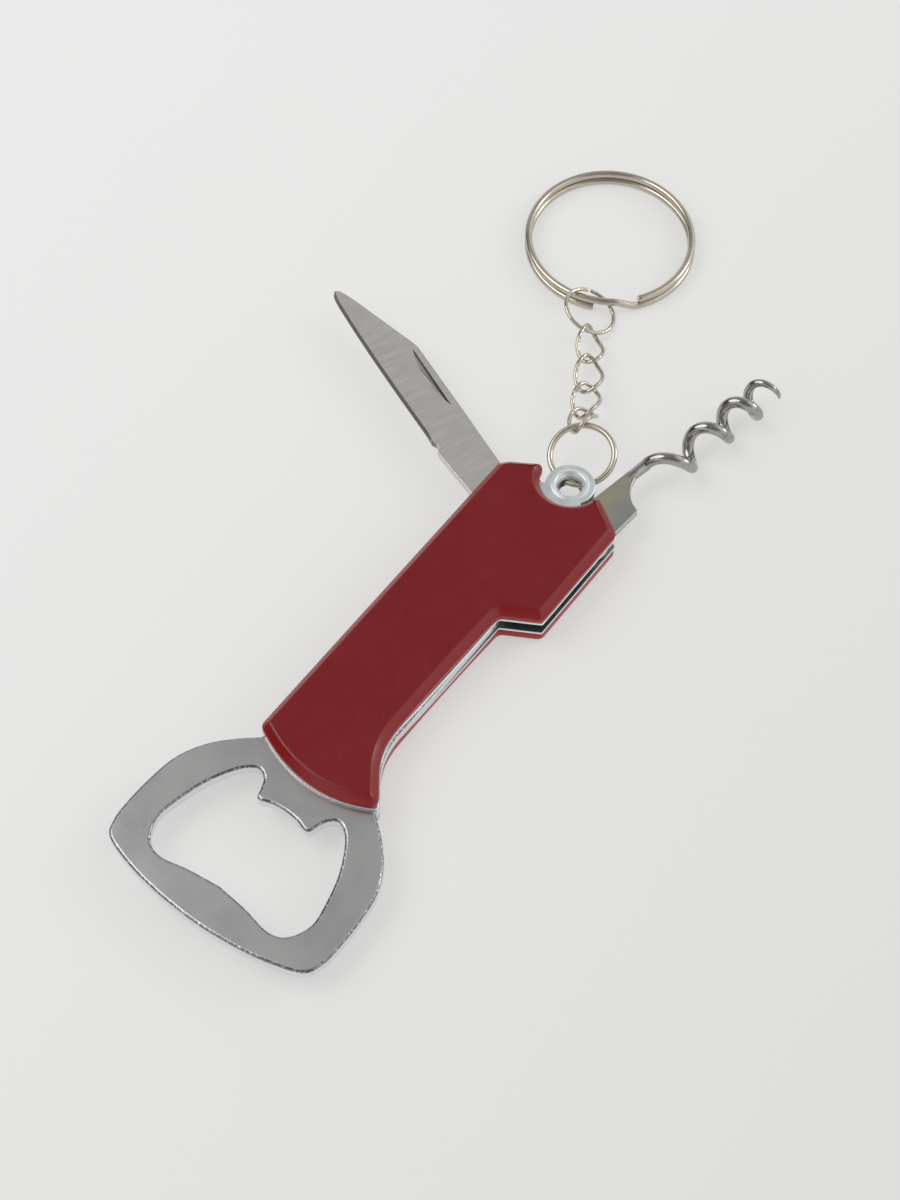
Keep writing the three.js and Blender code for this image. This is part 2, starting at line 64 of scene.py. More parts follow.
HANDLE_HALF_WIDTH = 11.6
HANDLE_SHOULDER_Y = 33.0
WAIST_STEP_Y = 5.4
WAIST_X = 5.6
LOBE = Vector((-0.2, 33.7))
LOBE_RADIUS = 4.0
LOBE_NOTCH_RADIUS = 4.9
BARREL_RADIUS = 2.3
HEAD_HALF_WIDTH = 19.6
HEAD_END_Y = -60.4

BLADE_PIVOT = Vector((-8.95, 26.8))
BLADE_ANGLE = math.radians(160)
BLADE_LENGTH = 50.8
CORKSCREW_PIVOT = Vector((8.0, 26.8))
CORKSCREW_ANGLE = math.radians(79.9)
PIVOT_HOLE_RADIUS = 1.4
WORM_WIRE = 0.98
WORM_RADIUS = 2.2
WORM_AXIS_OFFSET = 1.3
WORM_START = 17.8
WORM_TURNS = 3.6
WORM_FIRST_PITCH = 10.7
WORM_PITCH_LOSS = 0.885
LEAD_LENGTH = 3.0
LEAD_OFFSET = 4.4

EYELET_RING_RADIUS = 5.25
EYELET_RING_WIRE = 0.52
EYELET_RING_CENTRE = Vector((-2.2, 39.95, 4.79))
EYELET_RING_TILT = math.radians(17)
EYELET_RING_HEADING = math.radians(-85)
EYELET_HOOK_ANGLE = math.radians(127)
LINK_LENGTH = 7.8
LINK_WIDTH = 4.6
LINK_WIRE = 0.4
LINK_TWIST = math.radians(84)
LINK_ROLL_STEP = math.radians(15)
LINK_SQUARENESS = 0.85
HOOK_GAP = 0.2
CHAIN_HOOKS = [Vector((-7.35, 48.3, 3.4)), Vector((-10.29, 53.67, 2.5)), Vector((-13.5, 59.1, 2.2))]
JUMP_RING_RADIUS = 4.55
JUMP_RING_WIRE = 0.38
JUMP_RING_CENTRE = Vector((-19.8, 68.14, 2.23))
JUMP_RING_TILT = math.radians(23.5)
JUMP_RING_HEADING = math.radians(30)
JUMP_HOOK_ANGLE = math.radians(-54)
JUMP_GAP_ANGLE = math.radians(126)
KEY_RING_RADIUS = 14.4
KEY_RING_WIRE = 0.64
WIRE_EASE = 0.94  # Thins the chain's round wires to stay inside the CAD model's straight-sided ones.
KEY_RING_OVAL = 1.065
KEY_RING_SPLAY = 0.3
COIL_GAP = 0.1
KEY_RING_CENTRE = Vector((-26.85, 84.8, 0))
KEY_RING_HEADING = math.radians(-53.5)

# Finish sizes that only the looks use.
SCALE_CHAMFER = 1.25
BACK_CHAMFER = 0.55
EDGE_BEVEL_WIDTH = 0.32
NICK_DEPTH = 0.3
KICK_X = 14.2
NECK_LENGTH = 3.4
NECK_FLATNESS = 0.5

# ---------------------------------------------------------------- outlines


class Outline:
    """A flat outline drawn with lines, arcs and curves, in millimetres."""

    def __init__(self, x, y):
        self.points = [Vector((x, y))]

    def line(self, x, y):
        self.points.append(Vector((x, y)))
        return self

    def quad(self, cx, cy, x, y, steps=14):
        start, control, end = self.points[-1], Vector((cx, cy)), Vector((x, y))
        for step in range(1, steps + 1):
            t = step / steps
            self.points.append(start * (1 - t) ** 2 + control * 2 * t * (1 - t) + end * t * t)
        return self

    def cubic(self, ax, ay, bx, by, x, y, steps=16):
        start, a, b, end = self.points[-1], Vector((ax, ay)), Vector((bx, by)), Vector((x, y))
        for step in range(1, steps + 1):
            t = step / steps
            u = 1 - t
            self.points.append(start * u**3 + a * 3 * t * u * u + b * 3 * t * t * u + end * t**3)
        return self

    def arc(self, centre, radius, start, end, steps=40):
        for step in range(steps + 1):
            angle = math.radians(start + (end - start) * step / steps)
            self.points.append(centre + radius * Vector((math.cos(angle), math.sin(angle))))
        return self

    def spline(self, points, steps=8):
        """A uniform Catmull-Rom curve from the last point through the given ones."""
        knots = [self.points[-1]] + [Vector(p) for p in points]
        last = len(knots) - 1
        for index in range(last):
            before, start = knots[max(index - 1, 0)], knots[index]
            end, after = knots[index + 1], knots[min(index + 2, last)]
            slope_in, slope_out = (end - before) / 2, (after - start) / 2
            for step in range(1, steps + 1):
                t = step / steps
                self.points.append(
                    start * (2 * t**3 - 3 * t**2 + 1)
                    + slope_in * (t**3 - 2 * t**2 + t)
                    + end * (3 * t**2 - 2 * t**3)
                    + slope_out * (t**3 - t**2)
                )
        return self

    def rounded(self, radius, limit=22, steps=6):
        """The closed outline with every corner sharper than limit degrees rounded off."""
        points = distinct(self.points)
        count = len(points)
        lengths = [(points[(i + 1) % count] - points[i]).length for i in range(count)]
        starts = [sum(lengths[:i]) for i in range(count)]
        total = sum(lengths)

        def at(distance):
            distance %= total
            index = max(i for i in range(count) if starts[i] <= distance)
            along = (distance - starts[index]) / lengths[index]
            return points[index].lerp(points[(index + 1) % count], along)

        corners = []
        for i in range(count):
            before, after = points[i] - points[i - 1], points[(i + 1) % count] - points[i]
            turn = abs(before.angle_signed(after))
            if turn > math.radians(limit):
                corners.append((i, radius * math.tan(turn / 2)))
        for k, (i, trim) in enumerate(corners):
            gap = (starts[corners[(k + 1) % len(corners)][0]] - starts[i]) % total or total
            gap_before = (starts[i] - starts[corners[k - 1][0]]) % total or total
            corners[k] = (i, min(trim, 0.45 * gap, 0.45 * gap_before))

        result = []
        for i in range(count):
            corner = next((c for c in corners if c[0] == i), None)
            if corner:
                trim = corner[1]
                start, end = at(starts[i] - trim), at(starts[i] + trim)
                for step in range(steps + 1):
                    t = step / steps
                    result.append(start * (1 - t) ** 2 + points[i] * 2 * t * (1 - t) + end * t * t)
                continue
            near = (min((starts[i] - starts[c]) % total, (starts[c] - starts[i]) % total) <= trim * 1.02
                    for c, trim in corners)
            if not any(near):
                result.append(points[i])
        return distinct(result)


def distinct(points):
    """The closed outline's points without repeats."""
    return [p for i, p in enumerate(points) if (p - points[i - 1]).length > 1e-3]


def circle(centre, radius, steps=48):
    return Outline(centre.x + radius, centre.y).arc(centre, radius, 0, 360 * (1 - 1 / steps), steps - 1).points


def signed_area(points):
    return sum(a.cross(b) for a, b in zip(points, points[1:] + points[:1])) / 2


def wound(points, solid_inside):
    points = distinct(points)
    return points if (signed_area(points) > 0) == solid_inside else points[::-1]


def inset(points, amounts):
    """The closed outline moved to its left, into the material, by an amount for each point."""
    moved = []
    for i, point in enumerate(points):
        before = (point - points[i - 1]).normalized()
        after = (points[(i + 1) % len(points)] - point).normalized()
        left = Vector((-before.y - after.y, before.x + after.x)).normalized()
        reach = max(0.4, left.dot(Vector((-after.y, after.x))))
        moved.append(point + left * (amounts[i] / reach))
    return moved


# ---------------------------------------------------------------- making pieces


def squeezed(verts, low, high):
    """The points in metres, drawn together along each axis just enough to lie between low and high."""
    columns = []
    for k in range(3):
        values = [v[k] * MM for v in verts]
        start, end = min(values), max(values)
        new_start, new_end = max(start, low[k]), min(end, high[k])
        scale = (new_end - new_start) / (end - start)
        columns.append([min(max(new_start + (value - start) * scale, low[k]), high[k]) for value in values])
    return list(zip(*columns))


def make_piece(name, body, node, material, verts, faces, sharp=50):
    """A mesh piece that stands for a CAD node and stays inside that node's box. sharp is in degrees."""
    mesh = bpy.data.meshes.new(name)
    mesh.from_pydata(squeezed(verts, *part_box(node)), [], faces)
    mesh.validate()
    mesh.set_sharp_from_angle(angle=math.radians(sharp))
    for polygon in mesh.polygons:
        polygon.use_smooth = len(polygon.vertices) > 3 or abs(polygon.normal.z) < 0.9999
    mesh.materials.append(material)
    piece = bpy.data.objects.new(name, mesh)
    bpy.context.collection.objects.link(piece)
    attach(piece, body)
    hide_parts(node)
    return piece


def placed_at(pivot, angle):
    return Matrix.Translation((pivot.x, pivot.y, 0)) @ Matrix.Rotation(angle, 4, "Z")


def plate_mesh(outer, holes, profile, weights=None, recess=None, place=None):
    """A plate whose edge follows a profile of (inset, z) pairs from the bottom to the top.

    profile(weight) is asked for each outline point. A recess in the top is (outline, margin, floor), where
    floor(point) is the height of its floor next to that outline point.
    """
    loops = [wound(outer, True)] + [wound(hole, False) for hole in holes]
    all_weights = [weights(p) if weights else 0 for loop in loops for p in loop]
    profiles = [profile(w) for w in all_weights]
    levels = len(profiles[0])
    size = sum(len(loop) for loop in loops)
    verts, faces = [], []
    for level in range(levels):
        first = 0
        for loop in loops:
            steps = [profiles[first + i][level] for i in range(len(loop))]
            moved = inset(loop, [step[0] for step in steps])
            verts += [Vector((p.x, p.y, step[1])) for p, step in zip(moved, steps)]
            first += len(loop)
    for level in range(levels - 1):
        first = 0
        for loop in loops:
            count = len(loop)
            for i in range(count):
                a, b = level * size + first + i, level * size + first + (i + 1) % count
                faces.append((a, b, b + size, a + size))
            first += count

    def cap(rings, upwards):
        corners = [index for ring in rings for index in ring]
        flat_rings = [[verts[i].to_2d().to_3d() for i in ring] for ring in rings]
        for triangle in geometry.tessellate_polygon(flat_rings):
            a, b, c = (corners[i] for i in triangle)
            turn = (verts[b] - verts[a]).to_2d().cross((verts[c] - verts[a]).to_2d())
            if abs(turn) > 1e-9:
                faces.append((a, b, c) if (turn > 0) == upwards else (a, c, b))

    def rings_at(offset):
        starts = [sum(len(loop) for loop in loops[:k]) for k in range(len(loops))]
        return [[offset + start + i for i in range(len(loop))] for start, loop in zip(starts, loops)]

    top_rings = rings_at((levels - 1) * size)
    if recess:
        outline, margin, floor = recess
        outline = wound(outline, True)
        count, first = len(outline), len(verts)
        top = verts[-1].z
        verts += [Vector((p.x, p.y, top)) for p in outline]
        verts += [Vector((p.x, p.y, floor(q))) for p, q in zip(inset(outline, [margin] * count), outline)]
        for i in range(count):
            a, b = first + i, first + (i + 1) % count
            faces.append((a, b, b + count, a + count))
        cap([[first + count + i for i in range(count)]], True)
        top_rings.append([first + i for i in range(count)])
    cap(top_rings, True)
    cap(rings_at(0), False)
    if place:
        verts = [place @ v for v in verts]
    return verts, faces


def rounded_edge(bottom, top, radius, steps=3):
    """An edge profile with both rims rounded."""
    turn = [math.pi / 2 * step / steps for step in range(steps + 1)]
    lower = [(radius * (1 - math.sin(a)), bottom + radius * (1 - math.cos(a))) for a in turn]
    upper = [(r, top + bottom - z) for r, z in reversed(lower)]
    return lambda weight: lower + upper


def wire_mesh(points, radii, closed=False, sides=20):
    """A round wire along points; radii gives its radius at each one."""
    count = len(points)

    def direction(i):
        if closed:
            return (points[(i + 1) % count] - points[i - 1]).normalized()
        return (points[min(i + 1, count - 1)] - points[max(i - 1, 0)]).normalized()

    tangents = [direction(i) for i in range(count)]
    sideways = tangents[0].orthogonal().normalized()
    frames = [sideways]
    for i in range(1, count + (1 if closed else 0)):
        step = tangents[i - 1].rotation_difference(tangents[i % count])
        frames.append((step @ frames[-1]).normalized())
    surplus = 0.0
    if closed:
        first, last = frames[0], frames.pop()
        surplus = math.atan2(first.cross(last).dot(tangents[0]), first.dot(last))
    verts, faces = [], []
    for i, point in enumerate(points):
        axis = Matrix.Rotation(-surplus * i / count, 3, tangents[i]) @ frames[i]
        across = tangents[i].cross(axis)
        for side in range(sides):
            angle = 2 * math.pi * side / sides
            verts.append(point + radii[i] * (math.cos(angle) * axis + math.sin(angle) * across))
    for i in range(count if closed else count - 1):
        for side in range(sides):
            a, b = i * sides + side, i * sides + (side + 1) % sides
            c, d = (b + sides) % len(verts), (a + sides) % len(verts)
            faces.append((a, b, c, d))
    if not closed:
        faces.append(tuple(reversed(range(sides))))
        faces.append(tuple(range(len(verts) - sides, len(verts))))
    return verts, faces


def hammered(verts, centres, sides, depth, size):
    """A wire's points pressed towards its centre line by small dents, about depth deep and size across."""
    pressed = []
    for index, vert in enumerate(verts):
        inward = (centres[index // sides] - vert).normalized()
        amount = depth * max(0.0, noise.noise(vert / size) + 0.15)
        pressed.append(vert + inward * amount)
    return pressed


def turned_mesh(profile, centre, steps=96):
    """A ring turned about centre from a closed list of (radius, z) pairs."""
    verts, faces = [], []
    count = len(profile)
    for step in range(steps):
        angle = 2 * math.pi * step / steps
        for radius, z in profile:
            verts.append(Vector((centre.x + radius * math.cos(angle), centre.y + radius * math.sin(angle), z)))
    for step in range(steps):
        here, there = step * count, (step + 1) % steps * count
        for i in range(count):
            k = (i + 1) % count
            faces.append((here + i, there + i, there + k, here + k))
    return verts, faces


# ---------------------------------------------------------------- materials


class Finish:
    """A principled material with node helpers. Places are in metres in the row frame."""

    def __init__(self, name, **constants):
        self.material = bpy.data.materials.new(name)
        self.material.use_nodes = True
        self.tree = self.material.node_tree
        self.tree.nodes.clear()
        self.surface = self.add("ShaderNodeBsdfPrincipled", **constants)
        output = self.add("ShaderNodeOutputMaterial")
        self.tree.links.new(self.surface.outputs[0], output.inputs["Surface"])
        self.place = self.add("ShaderNodeTexCoord").outputs["Object"]

    def add(self, kind, settings=None, **inputs):
        node = self.tree.nodes.new(kind)
        for key, value in (settings or {}).items():
            setattr(node, key, value)
        for key, value in inputs.items():
            self.put(node, key.replace("_", " "), value)
        return node

    def put(self, node, key, value):
        socket = node.inputs[key]
        if isinstance(value, bpy.types.NodeSocket):
            self.tree.links.new(value, socket)
        else:
            socket.default_value = value

    def noise(self, size, detail=3.0, roughness=0.55, stretch=(1, 1, 1), turn=0.0):
        """Noise from 0 to 1 with features about size millimetres across, drawn out where stretch is small."""
        mapping = self.add("ShaderNodeMapping", {"vector_type": "TEXTURE"}, Vector=self.place)
        mapping.inputs["Scale"].default_value = [1 / s for s in stretch]
        mapping.inputs["Rotation"].default_value = (0, 0, turn)
        node = self.add("ShaderNodeTexNoise", Vector=mapping.outputs[0])
        node.inputs["Scale"].default_value = 1 / (size * MM)
        node.inputs["Detail"].default_value = detail
        node.inputs["Roughness"].default_value = roughness
        return node.outputs["Fac"]

    def local(self, pivot, angle):
        """Places along and across a tool drawn from its pivot at an angle, in metres."""
        mapping = self.add("ShaderNodeMapping", {"vector_type": "TEXTURE"}, Vector=self.place)
        mapping.inputs["Location"].default_value = (pivot.x * MM, pivot.y * MM, 0)
        mapping.inputs["Rotation"].default_value = (0, 0, angle)
        parts = self.add("ShaderNodeSeparateXYZ", Vector=mapping.outputs[0])
        return parts.outputs["X"], parts.outputs["Y"]

    def slope(self, start, end):
        """0 on level surfaces, up to 1 on steep ones; start and end are how upright the normal is."""
        normal = self.add("ShaderNodeTexCoord").outputs["Normal"]
        upright = self.add("ShaderNodeSeparateXYZ", Vector=normal).outputs["Z"]
        return self.span(self.math("ABSOLUTE", upright, 0.0), end, start, 1.0, 0.0)

    def cells(self, size, feature="F1"):
        node = self.add("ShaderNodeTexVoronoi", {"feature": feature}, Vector=self.place)
        node.inputs["Scale"].default_value = 1 / (size * MM)
        return node.outputs["Distance"]

    def span(self, value, low, high, to_low=0.0, to_high=1.0):
        node = self.add("ShaderNodeMapRange", {"interpolation_type": "SMOOTHSTEP"})
        self.put(node, "Value", value)
        for key, number in zip(("From Min", "From Max", "To Min", "To Max"), (low, high, to_low, to_high)):
            node.inputs[key].default_value = number
        return node.outputs["Result"]

    def math(self, operation, a, b):
        node = self.add("ShaderNodeMath", {"operation": operation})
        for index, value in enumerate((a, b)):
            if isinstance(value, bpy.types.NodeSocket):
                self.tree.links.new(value, node.inputs[index])
            else:
                node.inputs[index].default_value = value
        return node.outputs[0]

    def blend(self, factor, a, b):
        """Colour a where factor is 0 and b where it is 1."""
        node = self.add("ShaderNodeMix", {"data_type": "RGBA"})
        self.put(node, "Factor", factor)
        for index, value in ((6, a), (7, b)):
            if isinstance(value, bpy.types.NodeSocket):
                self.tree.links.new(value, node.inputs[index])
            else:
                node.inputs[index].default_value = (*value, 1.0)
        return node.outputs[2]

    def bump(self, height, depth, strength=1.0, normal=None):
        """A bump depth millimetres high."""
        node = self.add("ShaderNodeBump", Height=height)
        node.inputs["Strength"].default_value = strength
        node.inputs["Distance"].default_value = depth * MM
        if normal:
            self.tree.links.new(normal, node.inputs["Normal"])
        return node.outputs["Normal"]

    def finish(self, colour, roughness, normal):
        self.put(self.surface, "Base Color", colour)
        self.put(self.surface, "Roughness", roughness)
        self.put(self.surface, "Normal", normal)
        return self.material


def scratches(finish, size, turn, amount):
    """Fine straight scratches: 1 on a scratch and 0 elsewhere."""
    lines = finish.noise(size, 2.0, 0.5, stretch=(1.0, 0.035, 1.0), turn=turn)
    patches = finish.noise(6.0, 2.0, 0.5)
    some_places = finish.span(patches, 1 - amount, 1.08 - amount)
    return finish.math("MULTIPLY", finish.span(lines, 0.66, 0.72), some_places)


def scale_plastic():
    """Glossy burgundy plastic with slight orange peel, rubbing marks and dust, and a painted glow: its chamfers and
    walls are painted redder and lighter, as if light shone through the thin edges.
    """
    finish = Finish("scale_plastic", Metallic=0.0, IOR=1.5)
    mottle = finish.noise(9.0, 4.0)
    fine = finish.noise(0.5, 2.0)
    marks = finish.math("MAXIMUM", scratches(finish, 0.22, 0.6, 0.5), scratches(finish, 0.2, -0.9, 0.42))
    specks = finish.span(finish.noise(0.35, 1.0), 0.77, 0.82)
    colour = finish.blend(mottle, (0.190, 0.0022, 0.0052), (0.216, 0.0032, 0.0072))
    colour = finish.blend(finish.span(finish.noise(2.2, 5.0), 0.35, 0.8, 0.0, 0.5), colour, (0.216, 0.0065, 0.0105))
    # Painted glow: chamfers and steep walls are painted redder and lighter, standing in for light passing through
    # the thin plastic edges.
    colour = finish.blend(finish.slope(0.97, 0.7), colour, (0.25, 0.0030, 0.0045))
    colour = finish.blend(finish.slope(0.6, 0.2), colour, (0.36, 0.0035, 0.0040))
    colour = finish.blend(finish.math("MULTIPLY", marks, 0.10), colour, (0.32, 0.07, 0.08))
    colour = finish.blend(finish.math("MULTIPLY", specks, 0.14), colour, (0.38, 0.14, 0.14))
    roughness = finish.math("ADD", finish.span(mottle, 0.3, 0.7, 0.2, 0.3), finish.math("MULTIPLY", marks, 0.2))
    peel = finish.bump(finish.noise(1.6, 2.0), 0.008, 0.4)
    normal = finish.bump(finish.math("SUBTRACT", finish.math("MULTIPLY", fine, 0.2), marks), 0.004, 0.5, peel)
    return finish.finish(colour, roughness, normal)


def plated_steel():
    """Tumbled nickel plate: satin faces, polished rims dotted with small dents, and painted light: the steep walls
    are painted lighter as a sheen and the dents darker as shade.
    """
    finish = Finish("plated_steel", Metallic=1.0)
    cloud = finish.noise(7.0, 4.0, 0.6)
    grain = finish.noise(0.2, 3.0, 0.65)
    walls = finish.slope(0.6, 0.3)
    rims = finish.math("SUBTRACT", finish.slope(0.997, 0.95), walls)
    dents = finish.math("MULTIPLY", finish.span(finish.noise(0.4, 2.0, 0.6), 0.32, 0.52), rims)
    marks = finish.math("MAXIMUM", scratches(finish, 0.25, 0.35, 0.6), scratches(finish, 0.2, 1.9, 0.5))
    colour = finish.blend(cloud, (0.56, 0.565, 0.57), (0.59, 0.59, 0.585))
    # Painted sheen: the steep walls are painted lighter.
    colour = finish.blend(walls, colour, (0.80, 0.815, 0.83))
    # Painted shade: the dents on the rims are painted dark. The dents themselves are real and also come through the
    # bump.
    colour = finish.blend(finish.math("MULTIPLY", dents, 0.85), colour, (0.15, 0.16, 0.18))
    colour = finish.blend(finish.math("MULTIPLY", marks, 0.15), colour, (0.86, 0.86, 0.86))
    roughness = finish.span(finish.math("ADD", cloud, finish.math("MULTIPLY", grain, 0.5)), 0.4, 1.1, 0.26, 0.36)
    roughness = finish.math("SUBTRACT", roughness, finish.math("MULTIPLY", rims, 0.16))
    rough_skin = finish.bump(grain, 0.004, 0.4)
    pits = finish.math("ADD", finish.math("MULTIPLY", dents, 3.0), finish.math("MULTIPLY", marks, 0.25))
    normal = finish.bump(pits, -0.01, 0.6, rough_skin)
    return finish.finish(colour, roughness, normal)


def blade_steel():
    """Ground blade: fine lines across it, painted shade on the cutting edge bevel and in the nail nick, and a bright
    line at the kick.
    """
    finish = Finish("blade_steel", Metallic=1.0)
    lines = finish.noise(0.16, 2.0, 0.5, stretch=(1.0, 0.04, 1.0), turn=BLADE_ANGLE)
    cloud = finish.noise(4.0, 4.0)
    marks = scratches(finish, 0.25, BLADE_ANGLE + 0.2, 0.5)
    colour = finish.blend(cloud, (0.69, 0.67, 0.65), (0.75, 0.73, 0.71))
    colour = finish.blend(finish.span(lines, 0.35, 0.7, 0.0, 0.22), colour, (0.86, 0.84, 0.82))
    along, across = finish.local(BLADE_PIVOT, BLADE_ANGLE)
    past_kick = finish.span(along, (KICK_X - 2) * MM, KICK_X * MM)
    # Painted shade: past the kick, every tilted face (the cutting edge bevel, the nail nick's floor and the blade's
    # sides) is painted dark.
    tilted_shade = finish.math("MULTIPLY", finish.slope(0.998, 0.93), past_kick)
    colour = finish.blend(tilted_shade, colour, (0.22, 0.205, 0.18))
    reach = finish.span(across, -0.5 * MM, 2.2 * MM)
    shoulder = finish.math("ABSOLUTE", finish.math("SUBTRACT", along, (KICK_X + 0.4) * MM), 0.0)
    line = finish.math("MULTIPLY", finish.span(shoulder, 0.05 * MM, 0.16 * MM, 0.5, 0.0), reach)
    colour = finish.blend(line, colour, (0.98, 0.97, 0.95))
    colour = finish.blend(finish.math("MULTIPLY", marks, 0.25), colour, (0.45, 0.43, 0.42))
    roughness = finish.span(lines, 0.3, 0.75, 0.32, 0.42)
    normal = finish.bump(marks, -0.005, 0.5, finish.bump(lines, 0.003, 0.4))
    return finish.finish(colour, roughness, normal)


def tang_steel():
    """Stamped sheet, grey with an olive tarnish in the middle, and its steep sides painted lighter as a sheen."""
    finish = Finish("tang_steel", Metallic=1.0)
    fine = finish.noise(0.3, 3.0)
    tarnish = finish.noise(4.2, 2.0, 0.5)
    colour = finish.blend(finish.span(tarnish, 0.40, 0.62), (0.455, 0.455, 0.445), (0.47, 0.46, 0.345))
    colour = finish.blend(finish.span(fine, 0.4, 0.75, 0.0, 0.25), colour, (0.55, 0.55, 0.51))
    # Painted sheen: the steep sides are painted lighter.
    colour = finish.blend(finish.slope(0.98, 0.7), colour, (0.50, 0.50, 0.48))
    roughness = finish.span(tarnish, 0.3, 0.7, 0.3, 0.4)
    return finish.finish(colour, roughness, finish.bump(fine, 0.003, 0.4))


def polished_wire_steel():
    """Bright drawn wire, smoky in places, with fine marks."""
    finish = Finish("polished_wire_steel", Metallic=1.0)
    spots = finish.span(finish.noise(1.1, 3.0, 0.6), 0.45, 0.72)
    fine = finish.noise(0.25, 3.0)
    colour = finish.blend(finish.math("MULTIPLY", spots, 0.55), (0.42, 0.41, 0.40), (0.17, 0.16, 0.155))
    roughness = finish.span(fine, 0.3, 0.8, 0.05, 0.15)
    normal = finish.bump(fine, 0.003, 0.4, finish.bump(finish.noise(1.8, 2.0), 0.04, 0.35))
    return finish.finish(colour, roughness, normal)


def zinc_sheet(name, slot_shade):
    """Pale bluish zinc plate: satin, faintly blotched, with painted shade on the faces inside the slot between the
    liners. The second argument sets how dark that painted shade is.
    """
    finish = Finish(name, Metallic=1.0)
    blotch = finish.noise(1.8, 4.0)
    fine = finish.noise(0.18, 3.0)
    colour = finish.blend(blotch, (0.80, 0.87, 0.89), (0.88, 0.93, 0.935))
    colour = finish.blend(finish.span(finish.noise(0.7, 3.0), 0.58, 0.8, 0.0, 0.3), colour, (0.66, 0.73, 0.76))
    # Painted shade: faces at the heights of the slot, from the back liner's top up to the front liner's underside,
    # are painted dark as if in shadow.
    height = finish.add("ShaderNodeSeparateXYZ", Vector=finish.place).outputs["Z"]
    above_back = finish.span(height, (Z_PLATE - 0.1) * MM, Z_PLATE * MM)
    below_front = finish.span(height, Z_FRONT_LINER * MM, (Z_FRONT_LINER + 0.06) * MM, 1.0, 0.0)
    inside = finish.math("MULTIPLY", above_back, below_front)
    colour = finish.blend(finish.math("MULTIPLY", inside, slot_shade), colour, (0.18, 0.21, 0.23))
    roughness = finish.span(blotch, 0.3, 0.7, 0.34, 0.46)
    normal = finish.bump(fine, 0.003, 0.4, finish.bump(finish.noise(1.4, 2.0), 0.004, 0.3))
    return finish.finish(colour, roughness, normal)


def nickel_wire(name, hammer, roughness_low):
    """Warm nickel-plated wire. hammer sets how strongly its surface is facetted."""
    finish = Finish(name, Metallic=1.0)
    tone = finish.noise(2.2, 3.0, 0.5)
    facets = finish.cells(0.62, "SMOOTH_F1")
    fine = finish.noise(0.25, 3.0)
    colour = finish.blend(tone, (0.50, 0.45, 0.38), (0.64, 0.59, 0.51))
    colour = finish.blend(finish.span(finish.noise(0.6, 3.0), 0.6, 0.78, 0.0, 0.3), colour, (0.40, 0.35, 0.28))
    worn = finish.math("ADD", tone, finish.math("MULTIPLY", fine, 0.4))
    roughness = finish.span(worn, 0.4, 1.0, roughness_low, roughness_low + 0.1)
    normal = finish.bump(fine, 0.0006, 0.3, finish.bump(facets, 0.06, hammer))
    return finish.finish(colour, roughness, normal)


def bearing_metal(name, dark, light):
    """Plain turned metal for the rivets and washers."""
    finish = Finish(name, Metallic=1.0)
    tone = finish.noise(0.8, 4.0)
    colour = finish.blend(tone, dark, light)
    roughness = finish.span(tone, 0.3, 0.7, 0.25, 0.45)
    return finish.finish(colour, roughness, finish.bump(finish.noise(0.15), 0.006, 0.5))


PLASTIC = scale_plastic()
PLATED = plated_steel()
BLADE_STEEL = blade_steel()
TANG_STEEL = tang_steel()
WORM_STEEL = polished_wire_steel()
LINER_ZINC = zinc_sheet("liner_zinc", 0.8)
EYELET_ZINC = zinc_sheet("eyelet_zinc", 0.35)
SMOOTH_NICKEL = nickel_wire("smooth_nickel", 0.02, 0.17)
HAMMERED_NICKEL = nickel_wire("hammered_nickel", 0.8, 0.08)
RIVET_STEEL = bearing_metal("rivet_steel", (0.42, 0.42, 0.42), (0.56, 0.56, 0.56))
BRONZE = bearing_metal("washer_bronze", (0.42, 0.28, 0.12), (0.58, 0.40, 0.20))

# ---------------------------------------------------------------- handle


def handle_right_side(outline, waist_x):
    """From the lower left corner anticlockwise up to the right shoulder."""
    outline.quad(0.6, -37.2, 10.9, -31.2, 24)
    outline.cubic(8.6, -27.2, WAIST_X - 0.3, -25.4, WAIST_X - 0.4, -19.0)
    outline.quad(waist_x, -7.0, WAIST_X + 0.1, WAIST_STEP_Y + 0.6)
    return outline.line(HANDLE_HALF_WIDTH, 9.2).line(HANDLE_HALF_WIDTH, 29.4)


def handle_left_side(outline):
    return outline.line(-10.4, 31.1).line(-HANDLE_HALF_WIDTH, 29.8)


def scale_outline():
    outline = handle_right_side(Outline(-11.4, -30.7), WAIST_X - 0.5)
    outline.line(5.6, HANDLE_SHOULDER_Y + 0.4)
    outline.arc(LOBE - Vector((0, 0.1)), LOBE_NOTCH_RADIUS, -8, -172)
    outline.line(-6.0, HANDLE_SHOULDER_Y + 0.7)
    return handle_left_side(outline).rounded(1.5)


def liner_outline():
    outline = handle_right_side(Outline(-11.4, -30.7), WAIST_X)
    outline.line(7.2, 32.1).line(5.2, 31.2).line(3.6, 31.2)
    outline.arc(LOBE, LOBE_RADIUS, -34, 214, 64)
    outline.line(-5.4, 31.2).line(-7.6, 32.6)
    return handle_left_side(outline).rounded(0.6)


def scale_profile(outer, inner, chamfer_width):
    """From the face against the liner out to the outer face, with a softened chamfer."""
    way = 1 if outer > inner else -1
    foot = [(0.12, 0.0), (0.03, 0.04), (0.0, 0.12)]
    depth = 0.8 * chamfer_width + 0.06
    chamfer = [(0.0, -depth - 0.36), (0.02, -depth - 0.22), (0.08, -depth - 0.1), (0.16, -depth)]
    chamfer += [(chamfer_width - 0.16, -0.13), (chamfer_width - 0.06, -0.055)]
    chamfer += [(chamfer_width + 0.05, -0.015), (chamfer_width + 0.2, 0.0)]
    levels = [(amount, inner + way * z) for amount, z in foot]
    levels += [(amount, outer + way * z) for amount, z in chamfer]
    if way < 0:
        levels.reverse()
    return lambda weight: levels


